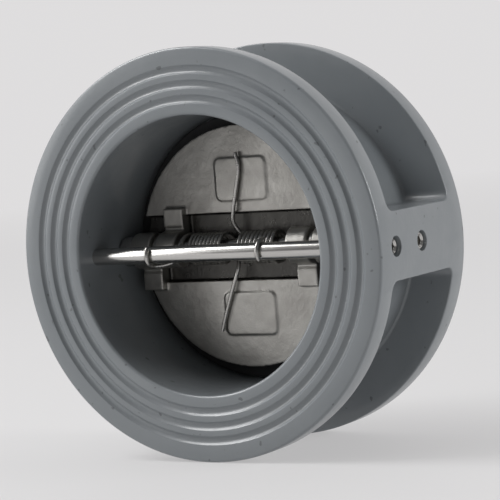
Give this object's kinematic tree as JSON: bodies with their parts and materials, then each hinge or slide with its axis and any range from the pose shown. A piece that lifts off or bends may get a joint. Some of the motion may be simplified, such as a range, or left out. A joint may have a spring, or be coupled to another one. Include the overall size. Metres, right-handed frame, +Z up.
{
  "type": "wafer check valve",
  "caption": "Dual-plate wafer check valve: grooved ring body, two sprung half-disc plates on a hinge pin, a stop pin and a rubber seat.",
  "frame": {"origin": "on the bore axis, midway between the two gasket faces", "axes": "+Y along the bore towards the inlet, against the flow; +X along the two pins; +Z up from the hinge line to the upper plate"},
  "size_m": [0.142, 0.064, 0.142],
  "materials": {
    "body_paint": "blue-grey epoxy paint, semi-gloss, over cast iron",
    "seat_rubber": "black nitrile rubber",
    "cast_stainless": "satin cast stainless steel",
    "ground_stainless": "ground bright stainless steel",
    "spring_wire": "bright drawn spring wire",
    "plug_sealing": "white sealing disc"
  },
  "bodies": {
    "valve_body": {"body": "body_paint", "seat_seal": "seat_rubber", "hinge_pin": "ground_stainless", "stop_pin": "ground_stainless", "left_spring": "spring_wire", "right_spring": "spring_wire", "left_plate_washer": "ground_stainless", "left_body_washer": "ground_stainless", "left_hinge_plug": "ground_stainless", "left_stop_plug": "ground_stainless", "left_hinge_plug_seal": "plug_sealing", "left_stop_plug_seal": "plug_sealing", "right_plate_washer": "ground_stainless", "right_body_washer": "ground_stainless", "right_hinge_plug": "ground_stainless", "right_stop_plug": "ground_stainless", "right_hinge_plug_seal": "plug_sealing", "right_stop_plug_seal": "plug_sealing"},
    "upper_plate": {"upper_plate": "cast_stainless"},
    "lower_plate": {"lower_plate": "cast_stainless"}
  },
  "joints": [
    {"name": "upper_plate_hinge", "type": "hinge", "parent": "valve_body", "child": "upper_plate", "pos_m": [0, -0.0015, 0], "axis": [1, 0, 0], "range_deg": [0, 85], "stiffness_Nm_per_rad": 0.03, "springref_deg": -91.67, "deforming": ["right_spring"]},
    {"name": "lower_plate_hinge", "type": "hinge", "parent": "valve_body", "child": "lower_plate", "pos_m": [0, -0.0015, 0], "axis": [-1, 0, 0], "range_deg": [0, 85], "stiffness_Nm_per_rad": 0.03, "springref_deg": -91.67, "deforming": ["left_spring"]}
  ]
}
